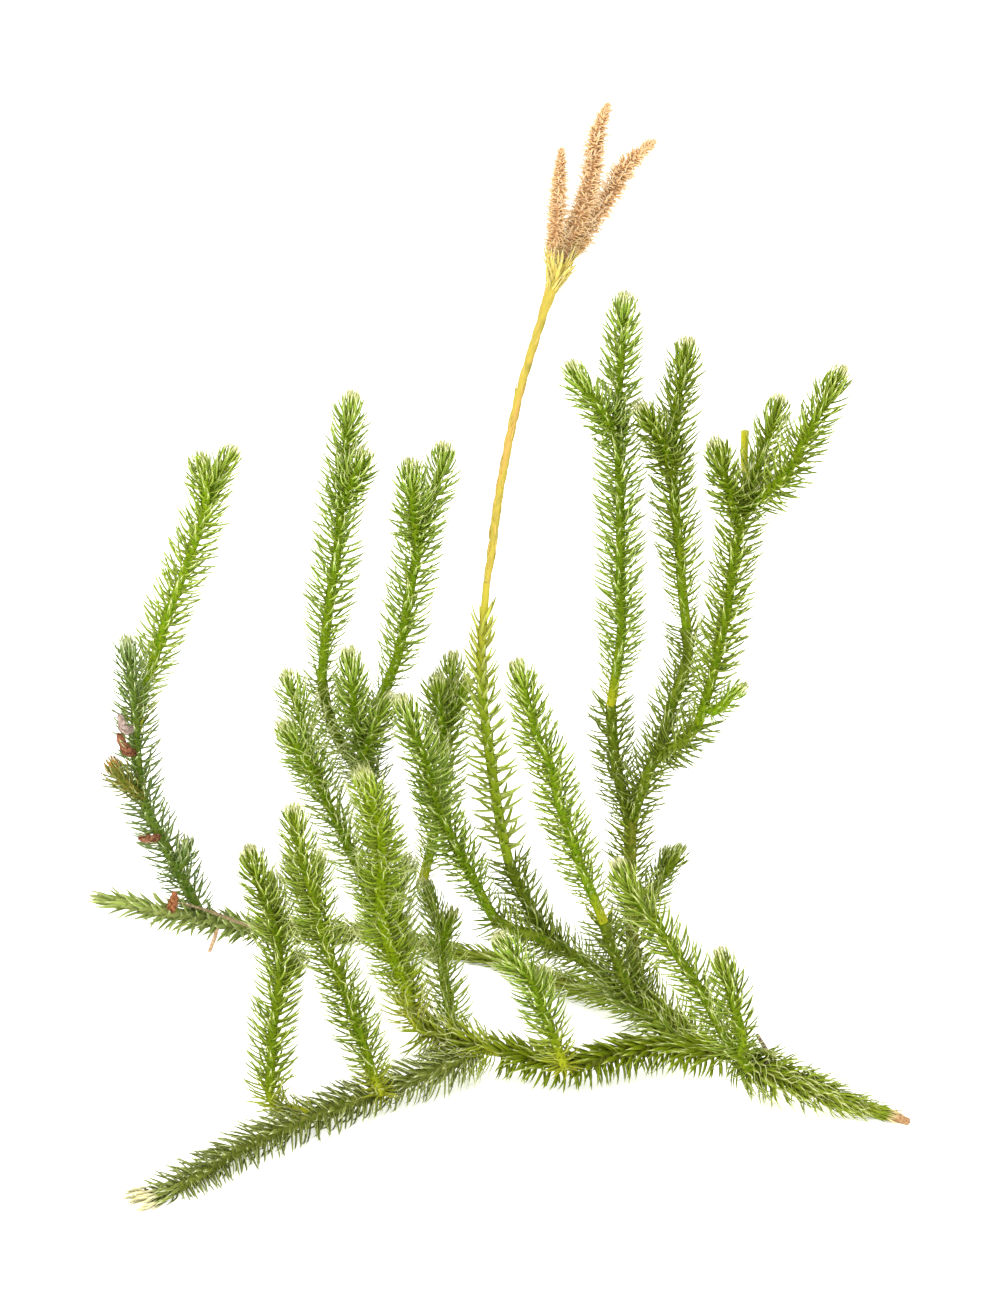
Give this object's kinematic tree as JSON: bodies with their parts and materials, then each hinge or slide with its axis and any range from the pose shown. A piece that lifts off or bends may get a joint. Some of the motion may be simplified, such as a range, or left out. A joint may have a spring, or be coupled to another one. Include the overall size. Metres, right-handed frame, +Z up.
{
  "type": "running clubmoss",
  "caption": "Picked clubmoss sprig: creeping leafy stems with upright needle-leaved shoots and a tall bare stalk with tan cones, standing on its low stems.",
  "frame": {"origin": "on the ground under the middle of the sprig's box", "axes": "+Z up, -Y towards the front of the sprig, +X to its right"},
  "size_m": [0.1836, 0.1309, 0.2257],
  "materials": {
    "young_green": "satin, bright green living leaves",
    "mature_green": "satin, full green living leaves",
    "dark_green": "satin, dark last year's leaves",
    "runner_green": "matte, brownish green creeping stems",
    "stalk_yellow": "matte, straw yellow stalk",
    "cone_tan": "matte, papery tan scales",
    "dry_brown": "matte, dry brown tissue"
  },
  "bodies": {
    "root": {"front_runner": "mature_green", "right_runner": "runner_green", "cut_end": "dry_brown", "left_runner": "runner_green", "trunk": "runner_green", "diagonal_stem": "dark_green", "back_runner": "runner_green", "big_shoot": "young_green", "big_shoot_left": "mature_green", "big_shoot_right": "young_green", "left_old_stems": "dark_green", "tall_left_shoot": "mature_green", "mid_left_shoot": "mature_green", "inner_shoot": "mature_green", "leaning_old_stem": "dark_green", "leaning_shoot": "mature_green", "rear_old_stem": "dark_green", "rear_shoot": "mature_green", "leafy_stalk": "young_green", "slanting_old_stem": "dark_green", "slanting_shoot": "young_green", "small_front_shoot": "young_green", "outer_left_shoot": "mature_green", "inner_left_shoot": "young_green", "tall_old_stem": "dark_green", "tall_shoot": "mature_green", "second_old_stem": "dark_green", "second_shoot": "mature_green", "crown_old_stem": "dark_green", "crown_shoot": "mature_green", "crown_side_shoot": "mature_green", "crown_young_shoot": "stalk_yellow", "short_dark_shoot": "dark_green", "right_shoot": "young_green", "right_small_shoot": "young_green", "far_left_old_stem": "dark_green", "far_left_shoot": "young_green", "stalk": "stalk_yellow", "centre_cone": "cone_tan", "left_cone": "cone_tan", "right_cone": "cone_tan", "rootlet": "dry_brown", "dry_twig": "dry_brown", "bud_scale_1": "dry_brown", "bud_scale_2": "dry_brown", "bud_scale_3": "dry_brown", "bud_scale_4": "dry_brown"}
  },
  "joints": []
}
